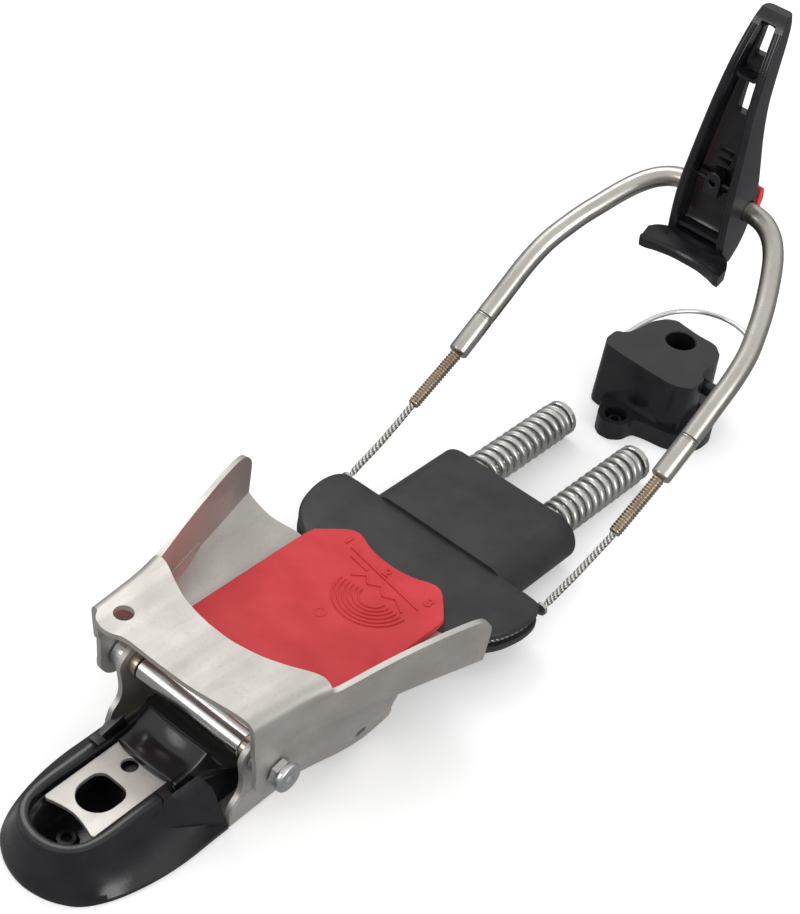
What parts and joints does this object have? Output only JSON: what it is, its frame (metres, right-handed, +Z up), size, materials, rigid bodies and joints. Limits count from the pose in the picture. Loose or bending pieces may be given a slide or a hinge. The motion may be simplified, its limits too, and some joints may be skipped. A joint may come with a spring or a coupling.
{
  "type": "touring binding",
  "caption": "Free-pivot ski binding: strapped toe plate on a front axle, twin springs under the sole, cable heel loop with lever, heel riser with climbing wire",
  "frame": {"origin": "on the underside of the pivot frame, straight below the axle, midway between the ears", "axes": "+X across the ski, +Y from the toe to the heel, +Z up from the ski"},
  "size_m": [0.1106, 0.386, 0.1758],
  "materials": {
    "stainless": "fine grained, satin",
    "zinc": "bluish zinc plate",
    "bronze": "dull bronze",
    "spring_steel": "grey galvanised wire",
    "satin_tube": "satin nickel",
    "black_plastic": "moulded, soft gloss",
    "satin_black": "moulded, satin",
    "red_plastic": "moulded, satin"
  },
  "bodies": {
    "base": {"toe_housing": "black_plastic", "pivot_frame": "stainless", "frame_screw_left": "zinc", "frame_screw_right": "zinc", "housing_screw": "zinc", "axle_bolt": "zinc", "axle_nut_right": "zinc", "axle_nut_left": "zinc", "axle_washer_right": "zinc", "axle_washer_left": "zinc", "pivot_bushing_right": "bronze", "pivot_bushing_left": "bronze", "heel_block": "black_plastic", "riser_screw_rear": "zinc", "riser_screw_front": "zinc", "wire_pivot_left": "black_plastic", "wire_pivot_right": "black_plastic"},
    "mode_slide": {"mode_slide": "stainless"},
    "toe": {"axle_tube": "stainless", "toe_plate": "stainless", "toe_pad": "red_plastic", "guide_block": "satin_black", "guide_screw_left": "zinc", "guide_screw_right": "zinc", "cable_wrap_left": "spring_steel", "cable_wrap_right": "spring_steel", "spring_box": "satin_black", "spring_left": "spring_steel", "spring_right": "spring_steel"},
    "spring_end_left": {"spring_cap_left": "spring_steel"},
    "spring_end_right": {"spring_cap_right": "spring_steel"},
    "cable_carriage": {"cable_exit_left": "spring_steel", "cable_exit_right": "spring_steel"},
    "heel_loop": {"cable_span_left": "spring_steel", "cable_span_right": "spring_steel", "threaded_stud_left": "bronze", "threaded_stud_right": "bronze", "loop_sleeve_left": "satin_tube", "loop_sleeve_right": "satin_tube", "heel_tube": "satin_tube"},
    "lever": {"heel_lever": "black_plastic", "lever_boss": "black_plastic", "lever_boss_pin": "zinc", "lever_clip": "red_plastic"},
    "climbing_wire": {"climbing_wire": "zinc"}
  },
  "joints": [
    {"name": "tour_pivot", "type": "hinge", "parent": "base", "child": "toe", "pos_m": [0, 0, 0.0252], "axis": [1, 0, 0], "range_deg": [0, 60]},
    {"name": "mode_shift", "type": "slide", "parent": "base", "child": "mode_slide", "axis": [0, 1, 0], "range_m": [0, 0.006]},
    {"name": "loop_draw", "type": "slide", "parent": "toe", "child": "cable_carriage", "axis": [0, 0.9993, -0.0384], "range_m": [0, 0.012], "stiffness_N_per_m": 3000, "springref_m": -0.004},
    {"name": "spring_left_draw", "type": "slide", "parent": "toe", "child": "spring_end_left", "axis": [0, -0.9993, 0.0384], "range_m": [0, 0.012], "deforming": ["spring_left"]},
    {"name": "spring_right_draw", "type": "slide", "parent": "toe", "child": "spring_end_right", "axis": [0, -0.9993, 0.0384], "range_m": [0, 0.012], "deforming": ["spring_right"]},
    {"name": "loop_swing", "type": "hinge", "parent": "cable_carriage", "child": "heel_loop", "pos_m": [0, 0.12604, 0.01605], "axis": [1, 0, 0], "range_deg": [0, 45]},
    {"name": "lever_flip", "type": "hinge", "parent": "heel_loop", "child": "lever", "pos_m": [0, 0.2749, 0.0992], "axis": [1, 0, 0], "range_deg": [-100, 20]},
    {"name": "wire_flip", "type": "hinge", "parent": "base", "child": "climbing_wire", "pos_m": [0, 0.268, 0.02], "axis": [1, 0, 0], "range_deg": [0, 92]}
  ],
  "couplings": [
    {"joint": "spring_left_draw", "follows": "loop_draw", "ratio": 1},
    {"joint": "spring_right_draw", "follows": "loop_draw", "ratio": 1}
  ]
}
